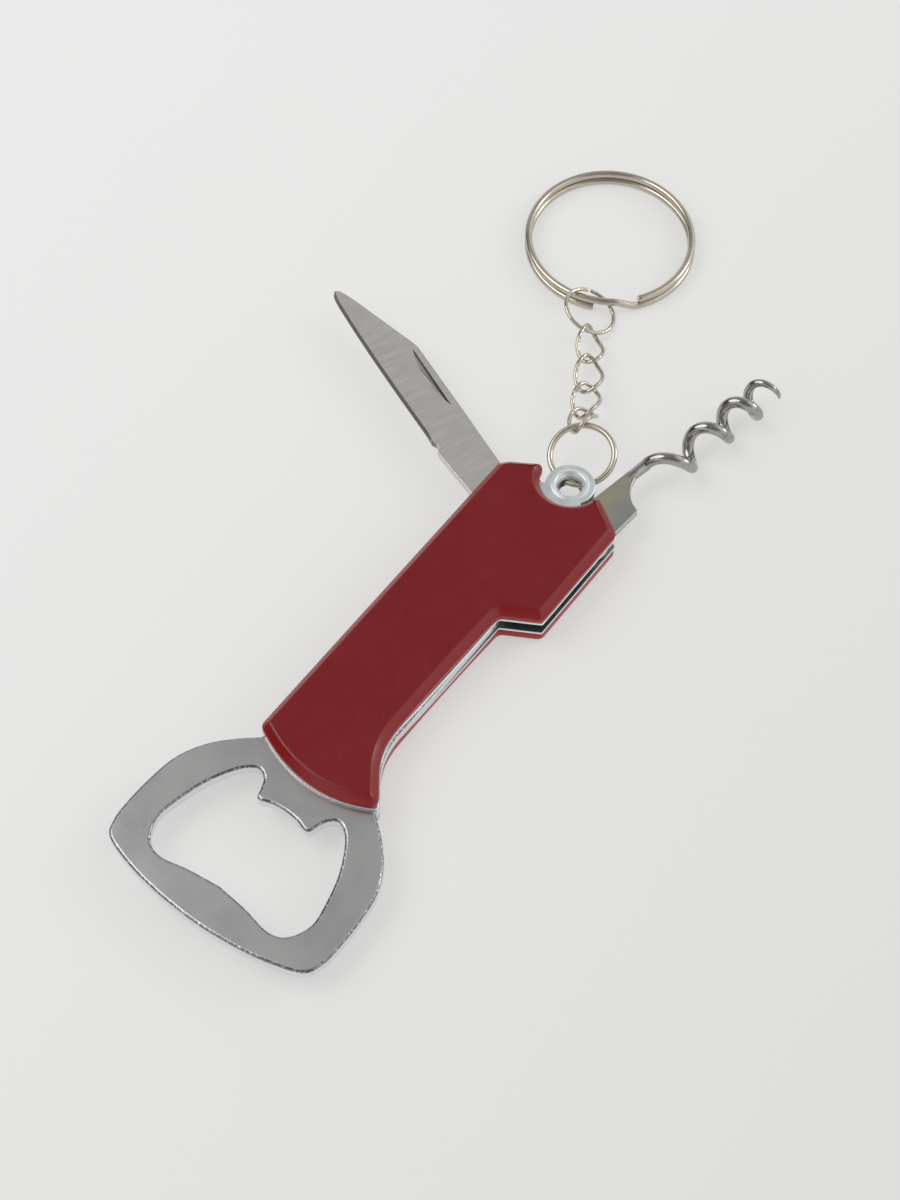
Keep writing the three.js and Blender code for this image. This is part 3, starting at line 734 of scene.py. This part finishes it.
RIVET_HOLES = [BLADE_PIVOT, CORKSCREW_PIVOT, Vector((0, 16)), Vector((0.6, -8)), Vector((0, -29))]
RIVET_HOLE_RADIUS = 1.3


def build_scales():
    front = ("front_scale", Z_TOP, Z_FRONT_SCALE, SCALE_CHAMFER)
    back = ("back_scale", 0.0, Z_BACK_LINER, BACK_CHAMFER)
    for name, outer, inner, chamfer in (front, back):
        verts, faces = plate_mesh(scale_outline(), [], scale_profile(outer, inner, chamfer))
        piece = make_piece(f"{name}_shell", "handle", name, PLASTIC, verts, faces)


def build_liners():
    holes = [circle(centre, RIVET_HOLE_RADIUS) for centre in RIVET_HOLES] + [circle(LOBE, BARREL_RADIUS + 0.1)]
    for name, bottom in (("front_liner", Z_FRONT_LINER), ("back_liner", Z_BACK_LINER)):
        profile = rounded_edge(bottom, bottom + LINER_THICKNESS, 0.12, 2)
        verts, faces = plate_mesh(liner_outline(), holes, profile)
        piece = make_piece(f"{name}_sheet", "handle", name, LINER_ZINC, verts, faces)


def build_eyelets():
    top, bottom = Z_FRONT_SCALE, Z_BACK_LINER
    front = [
        (BARREL_RADIUS, Z_FRONT_LINER - 0.4), (BARREL_RADIUS, top - 0.02), (3.2, top - 0.02), (3.1, top + 0.03),
        (2.95, top + 0.05), (2.8, top + 0.09), (2.68, top + 0.13), (2.58, top + 0.13), (2.49, top + 0.08),
        (2.4, top - 0.02), (2.3, top - 0.15), (2.16, top - 0.3), (2.05, top - 0.45), (1.97, top - 0.6),
        (1.86, top - 0.74), (1.8, Z_FRONT_LINER - 0.4),
    ]
    back = [
        (BARREL_RADIUS, Z_PLATE - 0.05), (1.8, Z_PLATE - 0.05), (1.9, Z_PLATE - 0.25), (2.1, bottom),
        (2.3, bottom - 0.16), (2.55, bottom - 0.25), (2.8, bottom - 0.27), (3.0, bottom - 0.25),
        (3.16, bottom - 0.15), (3.2, bottom - 0.05), (3.2, bottom), (BARREL_RADIUS, bottom),
    ]
    for name, profile in (("front_eyelet", front), ("back_eyelet", back)):
        verts, faces = turned_mesh(profile, LOBE)
        if name == "back_eyelet":
            faces = [tuple(reversed(face)) for face in faces]
        piece = make_piece(f"{name}_turned", "handle", name, EYELET_ZINC, verts, faces)


# ---------------------------------------------------------------- opener plate
HEAD_HALF = [
    (13.8, -34.1), (16.8, -37.5), (18.8, -41.6), (HEAD_HALF_WIDTH - 0.1, -46.4), (HEAD_HALF_WIDTH, -51.6),
    (19.2, -54.9), (17.7, -57.4), (12.0, -59.2), (6.0, -60.1),
]
CAP_HALF = [
    (2.2, -39.3), (4.0, -39.85), (4.9, -39.6), (5.3, -38.4), (6.1, -36.7), (7.7, -36.0), (9.9, -37.8), (12.3, -42.2),
    (13.7, -47.0), (14.2, -51.0), (12.6, -54.3), (9.8, -55.3), (5.4, -54.5),
]


def mirrored(points):
    return [(-x, y) for x, y in points]


def build_opener_plate():
    outline = Outline(-3.9, -25.8).line(-10.6, -26.6).line(-10.6, -31.4)
    outline.spline(mirrored(HEAD_HALF)).spline([(0, HEAD_END_Y)] + HEAD_HALF[::-1])
    outline.line(10.6, -31.4).quad(10.8, -30.6, 10.3, -30.1)
    outline.cubic(8.6, -27.2, WAIST_X, -25.4, WAIST_X - 0.1, -19.0).line(WAIST_X - 0.1, 8.0)
    outline.line(3.8, 14.0).line(3.8, 28.0).line(2.8, 29.2).line(-3.0, 29.2).line(-3.9, 28.0)
    opening = Outline(0, -39.1).spline(CAP_HALF + [(0, -53.9)])
    opening.spline(mirrored(CAP_HALF)[::-1] + [(0, -39.1)])
    holes = [opening.rounded(0.5)] + [circle(centre, RIVET_HOLE_RADIUS) for centre in RIVET_HOLES[2:]]
    profile = rounded_edge(Z_PLATE, Z_FRONT_LINER, 0.5, 4)
    verts, faces = plate_mesh(outline.rounded(0.9), holes, profile)
    piece = make_piece("opener_plate_pressed", "handle", "opener_plate", PLATED, verts, faces)


# ---------------------------------------------------------------- folding tools


def build_blade():
    outline = Outline(-3.55, -2.4).line(32.4, -5.25).line(34.2, -4.95).line(47.2, -1.9)
    outline.line(49.4, -1.25).quad(BLADE_LENGTH, -0.8, BLADE_LENGTH, -0.1, 8)
    outline.quad(BLADE_LENGTH, 0.6, 47.6, 1.0, 8)
    outline.quad(35, 2.6, KICK_X, 3.85, 28).quad(12.5, 3.0, 12.1, 4.2, 10).quad(11.7, 4.33, 10.8, 4.35, 4)
    outline.line(0, 4.3).arc(Vector((0, 0)), 4.3, 90, 214, 24)
    heel, toe = Vector((18.9, -3.0)), Vector((32.5, -4.25))
    nick = Outline(heel.x, heel.y).line(toe.x, toe.y).quad(25.5, -1.3, heel.x, heel.y, 20)

    def on_edge(point):
        """1 along the cutting edge, fading out at the kick."""
        return smoothstep(point.x, KICK_X + 0.3, KICK_X + 2.0) if point.y > 0.0 else 0.0

    def nick_depth(point):
        """Deepest against the straight side, rising to nothing at the curved one."""
        away = (point - heel).cross((toe - heel).normalized())
        return NICK_DEPTH * max(0.04, 1 - abs(away) / 1.1)

    def profile(weight):
        soft = 0.1
        thin = weight * (Z_TOOL_TOP - Z_TOOL - 0.2) / 2
        width = soft + weight * EDGE_BEVEL_WIDTH
        return [
            (width, Z_TOOL), (width * 0.6, Z_TOOL + thin * 0.4 + 0.02), (0.0, Z_TOOL + thin + soft),
            (0.0, Z_TOOL_TOP - thin - soft), (width * 0.6, Z_TOOL_TOP - thin * 0.4 - 0.02), (width, Z_TOOL_TOP),
        ]

    recess = (nick.points, 0.05, lambda point: Z_TOOL_TOP - nick_depth(point))
    place = placed_at(BLADE_PIVOT, BLADE_ANGLE)
    hole = circle(Vector((0, 0)), PIVOT_HOLE_RADIUS)
    verts, faces = plate_mesh(outline.rounded(0.25, 30, 3), [hole], profile, on_edge, recess, place)
    piece = make_piece("knife_blade_ground", "blade", "knife_blade", BLADE_STEEL, verts, faces, 30)


def worm_point(turn):
    travel = WORM_FIRST_PITCH * turn - WORM_PITCH_LOSS * turn * turn
    ease = max(0.0, 1 - turn / 0.35)
    radius = WORM_RADIUS + (LEAD_OFFSET - WORM_AXIS_OFFSET - WORM_RADIUS) * ease * ease
    angle = math.pi - 2 * math.pi * turn
    return Vector((
        WORM_START + travel,
        WORM_AXIS_OFFSET - radius * math.cos(angle),
        Z_MIDDLE + radius * math.sin(angle),
    ))


def build_corkscrew():
    place = placed_at(CORKSCREW_PIVOT, CORKSCREW_ANGLE)
    tang = Outline(2.6, -2.1).line(10.0, -1.35).quad(10.5, 2.2, 14.7, 3.55, 16)
    tang.line(15.1, 5.2).line(6.7, 5.2).line(3.2, 4.8).line(-0.8, 3.24)
    tang.arc(Vector((0, 0)), 3.34, 104, 321, 40)
    profile = rounded_edge(Z_TOOL, Z_TOOL_TOP, 0.14, 2)
    hole = circle(Vector((0, 0)), PIVOT_HOLE_RADIUS)
    verts, faces = plate_mesh(tang.rounded(0.35), [hole], profile, place=place)
    piece = make_piece("corkscrew_tang", "corkscrew", "corkscrew", TANG_STEEL, verts, faces)

    lead = LEAD_LENGTH + NECK_LENGTH
    points = [Vector((WORM_START - lead + lead * i / 24, LEAD_OFFSET, Z_MIDDLE)) for i in range(24)]
    points += [worm_point(WORM_TURNS * i / 260) for i in range(261)]
    travelled = [0.0]
    for a, b in zip(points, points[1:]):
        travelled.append(travelled[-1] + (b - a).length)
    widths, radii = [], []
    for distance in travelled:
        grown = smoothstep(distance, 0.0, lead)
        widths.append(0.86 + 0.14 * grown)
        taper = min(1.0, math.sqrt(max(0.006, (1 - distance / travelled[-1]) / 0.22)))
        radii.append(WORM_WIRE * taper)
    sides = 24
    verts, faces = wire_mesh(points, radii, sides=sides)
    shaped = []
    for i, vert in enumerate(verts):
        centre, distance = points[i // sides], travelled[i // sides]
        offset = vert - centre
        offset.y *= widths[i // sides]
        offset.z *= NECK_FLATNESS + (1 - NECK_FLATNESS) * smoothstep(distance, 0.0, lead)
        shaped.append(place @ (centre + offset))
    piece = make_piece("corkscrew_worm", "corkscrew", "corkscrew", WORM_STEEL, shaped, faces)


# ---------------------------------------------------------------- rings and chain


def tilted(centre, tilt, heading):
    normal = Vector((
        math.sin(tilt) * math.cos(heading), math.sin(tilt) * math.sin(heading), math.cos(tilt),
    ))
    turn = Vector((0, 0, 1)).rotation_difference(normal)
    return Matrix.Translation(centre) @ turn.to_matrix().to_4x4()


EYELET_FRAME = tilted(EYELET_RING_CENTRE, EYELET_RING_TILT, EYELET_RING_HEADING)
JUMP_FRAME = tilted(JUMP_RING_CENTRE, JUMP_RING_TILT, JUMP_RING_HEADING)


def on_circle(place, radius, angle):
    return place @ Vector((radius * math.cos(angle), radius * math.sin(angle), 0))


def build_rings():
    steps = 160
    points = [on_circle(EYELET_FRAME, EYELET_RING_RADIUS, 2 * math.pi * i / steps) for i in range(steps)]
    verts, faces = wire_mesh(points, [EYELET_RING_WIRE] * steps, closed=True)
    piece = make_piece("eyelet_ring_wire", "eyelet_ring", "eyelet_ring", SMOOTH_NICKEL, verts, faces)

    half_gap, sides = math.radians(3), 20
    turns = [JUMP_GAP_ANGLE + half_gap + (2 * math.pi - 2 * half_gap) * i / steps for i in range(steps + 1)]
    points = [on_circle(JUMP_FRAME, JUMP_RING_RADIUS, angle) for angle in turns]
    radii = [JUMP_RING_WIRE * (0.80 if i in (0, steps) else WIRE_EASE) for i in range(steps + 1)]
    verts, faces = wire_mesh(points, radii, sides=sides)
    verts = hammered(verts, points, sides, 0.05, 0.7)
    piece = make_piece("jump_ring_wire", "jump_ring", "jump_ring", HAMMERED_NICKEL, verts, faces)


def smoothstep(value, low, high):
    t = max(0.0, min(1.0, (value - low) / (high - low)))
    return t * t * (3 - 2 * t)


def build_key_ring():
    """Split ring: the upper coil, a step down between the two cut ends, then the lower coil."""
    upper_end, lower_end = math.radians(17), math.radians(-14)
    step_span = upper_end - lower_end
    coil_span = 2 * math.pi - step_span
    coil_pitch = 2 * KEY_RING_WIRE + COIL_GAP
    steps = 720
    place = Matrix.Translation(KEY_RING_CENTRE) @ Matrix.Rotation(KEY_RING_HEADING, 4, "Z")
    points = []
    for i in range(steps + 1):
        travelled = (2 * coil_span + step_span) * i / steps
        drop = smoothstep(travelled, coil_span + math.radians(13), coil_span + step_span)
        splay = smoothstep(travelled, coil_span, coil_span + 2 * step_span)
        angle = upper_end + travelled
        points.append(place @ Vector((
            KEY_RING_OVAL * KEY_RING_RADIUS * math.cos(angle) + KEY_RING_SPLAY * splay,
            KEY_RING_RADIUS * math.sin(angle),
            KEY_RING_WIRE + coil_pitch * (1 - drop),
        )))
    radii = [KEY_RING_WIRE] * (steps + 1)
    radii[0] = radii[-1] = 0.84 * KEY_RING_WIRE
    verts, faces = wire_mesh(points, radii)
    piece = make_piece("key_ring_wire", "key_ring", "key_ring", SMOOTH_NICKEL, verts, faces)


def link_end_on_ring(place, radius, wire, angle, hook):
    on_wire = on_circle(place, radius, angle)
    pull = (on_wire - hook).normalized()
    return on_wire + pull * (wire + LINK_WIRE + HOOK_GAP)


def build_link(number, centre, along):
    """An oval link twisted about its length, closed by a butt joint at one end."""
    roll = (2.5 - number) * LINK_ROLL_STEP
    sideways = Vector((0, 0, 1)).cross(along).normalized()
    steps, sides = 120, 18
    points = []
    for i in range(steps):
        angle = 2 * math.pi * i / steps
        lengthwise = -math.cos(angle)
        across = math.copysign(abs(math.sin(angle)) ** LINK_SQUARENESS, math.sin(angle))
        turn = Matrix.Rotation(LINK_TWIST * lengthwise / 2 + roll, 3, along)
        spread = turn @ sideways * (across * LINK_WIDTH / 2)
        points.append(spread + along * (lengthwise * LINK_LENGTH / 2) + centre)
    joint = steps // 2 + 6
    radii = [LINK_WIRE * (0.76 if i == joint else WIRE_EASE) for i in range(steps)]
    verts, faces = wire_mesh(points, radii, closed=True, sides=sides)
    verts = hammered(verts, points, sides, 0.06, 0.6)
    name = f"chain_link_{number}"
    piece = make_piece(f"{name}_wire", name, name, HAMMERED_NICKEL, verts, faces)


def build_chain():
    near, mid, far = CHAIN_HOOKS
    first = link_end_on_ring(EYELET_FRAME, EYELET_RING_RADIUS, EYELET_RING_WIRE, EYELET_HOOK_ANGLE, near)
    last = link_end_on_ring(JUMP_FRAME, JUMP_RING_RADIUS, JUMP_RING_WIRE, JUMP_HOOK_ANGLE, far)
    near_along, far_along = (near - first).normalized(), (last - far).normalized()
    build_link(4, first + near_along * (LINK_LENGTH / 2), near_along)
    build_link(3, (near + mid) / 2, (mid - near).normalized())
    build_link(2, (mid + far) / 2, (far - mid).normalized())
    build_link(1, last - far_along * (LINK_LENGTH / 2), far_along)


# ---------------------------------------------------------------- carried-over CAD nodes


def dress_cad_nodes():
    for name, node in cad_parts.items():
        if "washer" in name:
            finish = BRONZE
        elif "rivet" in name or name == "lobe_pin":
            finish = RIVET_STEEL
        else:
            continue
        node.data.materials.clear()
        node.data.materials.append(finish)


# ---------------------------------------------------------------- stage, light and camera


def build_floor():
    """Pale paper that gives off some light, so that shadows stay faint, and is a little dimmer to the right."""
    finish = Finish("floor_paper", Metallic=0.0, Emission_Strength=0.5)
    tone = finish.noise(90.0, 3.0)
    colour = finish.blend(tone, (0.34, 0.34, 0.34), (0.36, 0.36, 0.355))
    across = finish.add("ShaderNodeSeparateXYZ", Vector=finish.place).outputs["X"]
    glow = finish.blend(finish.span(across, -0.16, 0.2), (1.04, 1.04, 1.04), (0.86, 0.85, 0.83))
    finish.put(finish.surface, "Emission Color", glow)
    normal = finish.bump(finish.noise(0.6, 3.0), 0.01, 0.2)
    material = finish.finish(colour, finish.span(tone, 0.3, 0.7, 0.8, 0.9), normal)
    half = 1.6
    mesh = bpy.data.meshes.new("floor")
    corners = [(-half, -half, 0), (half, -half, 0), (half, half, 0), (-half, half, 0)]
    mesh.from_pydata(corners, [], [(0, 1, 2, 3)])
    mesh.materials.append(material)
    floor = bpy.data.objects.new("floor", mesh)
    bpy.context.collection.objects.link(floor)
    floor.location.z = -0.00002


def area_light(name, place, target, size, power, colour=(1, 1, 1)):
    light = bpy.data.lights.new(name, "AREA")
    light.shape = "DISK"
    light.size = size
    light.energy = power
    light.color = colour
    lamp = bpy.data.objects.new(name, light)
    lamp.location = place
    lamp.rotation_euler = (Vector(target) - Vector(place)).to_track_quat("-Z", "Y").to_euler()
    bpy.context.collection.objects.link(lamp)


def build_light():
    """A large softbox at the left, a weak one opposite, and a studio darker where level tops look."""
    area_light("key_light", (-0.70, -0.30, 0.84), (0, 0.01, 0), 1.0, 5.0, (1.0, 0.99, 0.975))
    area_light("rim_light", (0.55, 0.75, 0.42), (0, 0, 0), 0.3, 1.3, (0.97, 0.985, 1.0))
    world = bpy.data.worlds.new("studio")
    bpy.context.scene.world = world
    world.use_nodes = True
    nodes, links = world.node_tree.nodes, world.node_tree.links
    nodes.clear()
    place = nodes.new("ShaderNodeTexCoord").outputs["Generated"]

    def shade(direction, start, end, darkness):
        """1 away from direction, down to 1 - darkness towards it; start and end are cosines."""
        along = nodes.new("ShaderNodeVectorMath")
        along.operation = "DOT_PRODUCT"
        links.new(place, along.inputs[0])
        along.inputs[1].default_value = Vector(direction).normalized()
        span = nodes.new("ShaderNodeMapRange")
        span.interpolation_type = "SMOOTHSTEP"
        links.new(along.outputs["Value"], span.inputs["Value"])
        for key, number in zip(("From Min", "From Max", "To Min", "To Max"), (start, end, 1.0, 1.0 - darkness)):
            span.inputs[key].default_value = number
        return span.outputs["Result"]

    def product(a, b):
        node = nodes.new("ShaderNodeMath")
        node.operation = "MULTIPLY"
        for index, value in enumerate((a, b)):
            if isinstance(value, float):
                node.inputs[index].default_value = value
            else:
                links.new(value, node.inputs[index])
        return node.outputs[0]

    mirrored_view = shade((-0.36, 0.33, 0.87), 0.72, 0.97, 0.62)
    behind_camera = shade((0.33, -0.45, 0.83), 0.70, 0.94, 0.72)
    dark_wall = shade((-0.84, -0.30, 0.30), 0.62, 0.93, 0.85)
    horizon = shade((0.0, 0.0, -1.0), -0.45, -0.05, 0.35)
    level = product(product(mirrored_view, behind_camera), product(product(horizon, dark_wall), 0.98))
    background = nodes.new("ShaderNodeBackground")
    background.inputs["Color"].default_value = (1.0, 0.995, 0.985, 1.0)
    links.new(level, background.inputs["Strength"])
    output = nodes.new("ShaderNodeOutputWorld")
    links.new(background.outputs[0], output.inputs["Surface"])


def build_camera():
    camera = bpy.data.cameras.new("camera")
    camera.lens = 63
    camera.sensor_width = 36
    camera.clip_start = 0.01
    holder = bpy.data.objects.new("camera", camera)
    holder.location = (0.1045, -0.1402, 0.2747)
    target = Vector((-0.0045, 0.0071, 0))
    holder.rotation_euler = (target - holder.location).to_track_quat("-Z", "Y").to_euler()
    bpy.context.collection.objects.link(holder)
    bpy.context.scene.camera = holder
    bpy.context.scene.view_settings.view_transform = "Standard"


build_camera()
build_light()
build_floor()
build_scales()
build_liners()
build_eyelets()
build_opener_plate()
build_blade()
build_corkscrew()
build_rings()
build_key_ring()
build_chain()
dress_cad_nodes()
